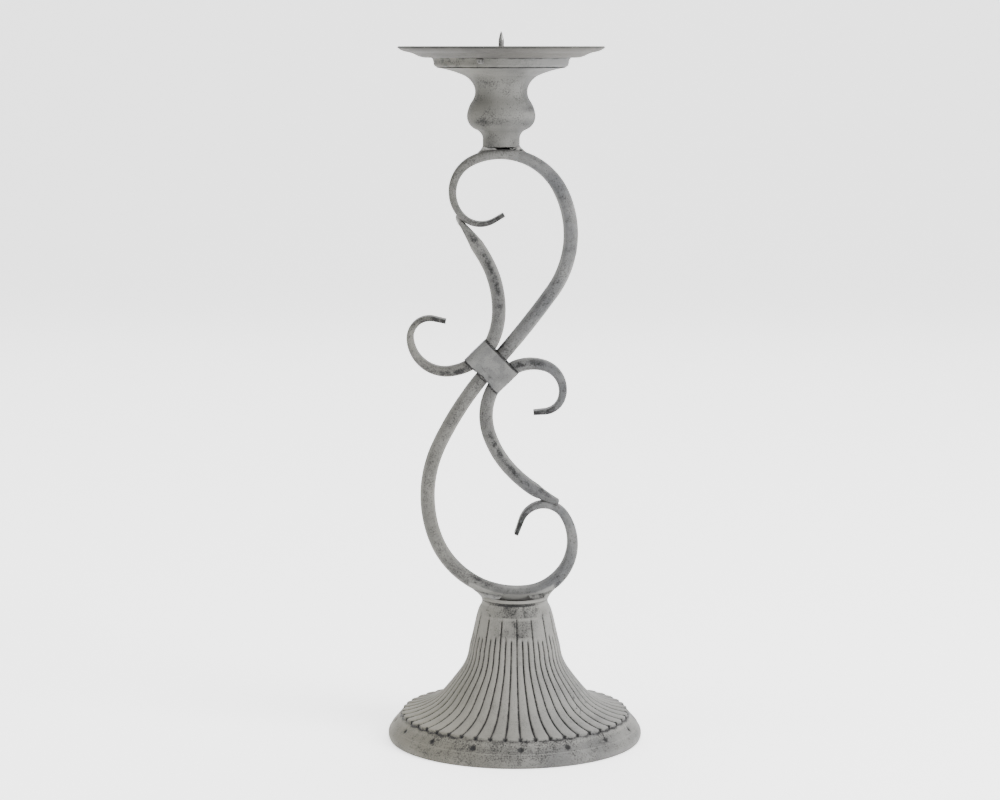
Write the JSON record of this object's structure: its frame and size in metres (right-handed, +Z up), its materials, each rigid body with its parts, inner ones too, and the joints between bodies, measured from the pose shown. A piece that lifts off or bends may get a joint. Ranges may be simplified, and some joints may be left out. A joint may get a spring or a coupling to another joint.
{
  "type": "pillar candle holder",
  "caption": "Metal pillar candle holder: fluted bell base, scrolled tube stem with a wrapped collar, turned baluster, and a shallow drip pan with a candle spike.",
  "frame": {"origin": "on the floor, on the axis of the round base", "axes": "+Z up, +X to the right across the flat of the scrolls, front faces -Y"},
  "size_m": [0.1376, 0.1376, 0.38],
  "materials": {
    "base_paint": "antique whitewashed grey paint, matt, worn along the reeds",
    "tube_paint": "antique whitewashed grey paint, matt, speckled, worn to dark metal in streaks",
    "cup_paint": "antique whitewashed grey paint, matt, with faint spinning lines",
    "pan_paint": "warm grey paint, matt and even",
    "weld_paint": "painted weld metal, lumpy",
    "bare_steel": "bare steel nail"
  },
  "bodies": {
    "root": {"base": "base_paint", "neck_ring": "base_paint", "main_scroll": "tube_paint", "upper_side_scroll": "tube_paint", "lower_side_scroll": "tube_paint", "collar": "tube_paint", "neck_weld_left": "weld_paint", "neck_weld_right": "weld_paint", "baluster_weld_left": "weld_paint", "baluster_weld_right": "weld_paint", "upper_tip_weld": "weld_paint", "lower_tip_weld": "weld_paint", "baluster": "cup_paint", "seat_cup": "cup_paint", "drip_pan": "pan_paint", "pan_tack_weld": "weld_paint", "spike": "bare_steel"}
  },
  "joints": []
}
